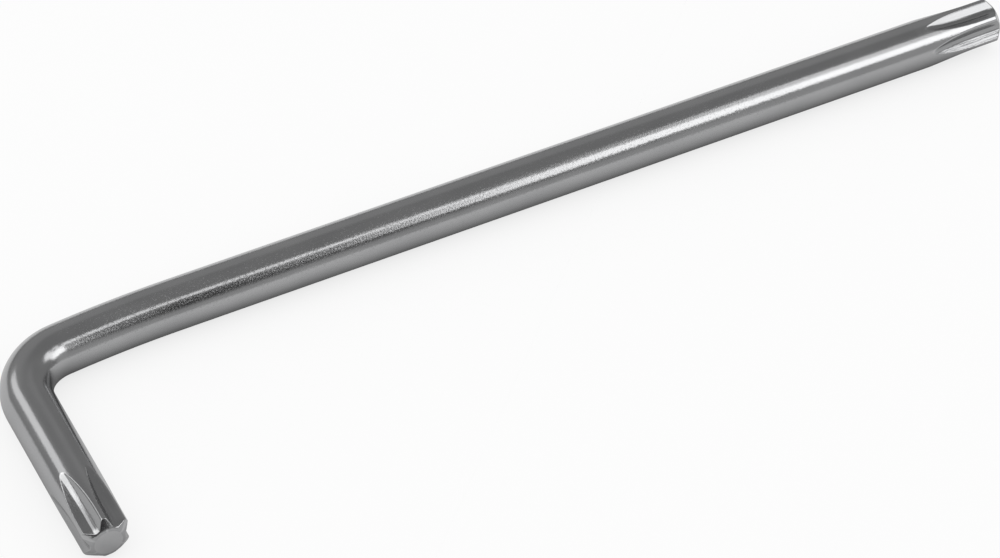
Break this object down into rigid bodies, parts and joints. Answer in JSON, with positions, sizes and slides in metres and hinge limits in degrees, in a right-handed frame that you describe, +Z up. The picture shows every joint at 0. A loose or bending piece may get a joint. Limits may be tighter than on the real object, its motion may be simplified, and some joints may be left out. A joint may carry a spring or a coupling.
{
  "type": "star key",
  "caption": "L-shaped star key bent from one satin-plated round steel bar, with a fluted star tip on the long arm and on the short arm.",
  "frame": {"origin": "middle of the key's outline, on the surface that the key lies on", "axes": "+Z up from that surface, +X along the long arm to its tip, -Y along the short arm to its tip"},
  "size_m": [0.1932, 0.0476, 0.0088],
  "materials": {
    "satin_steel": "satin chrome plating over hardened steel"
  },
  "bodies": {
    "root": {"long_arm": "satin_steel", "bow": "satin_steel", "bend": "satin_steel", "short_arm": "satin_steel", "long_star_tip": "satin_steel", "short_star_tip": "satin_steel"}
  },
  "joints": []
}
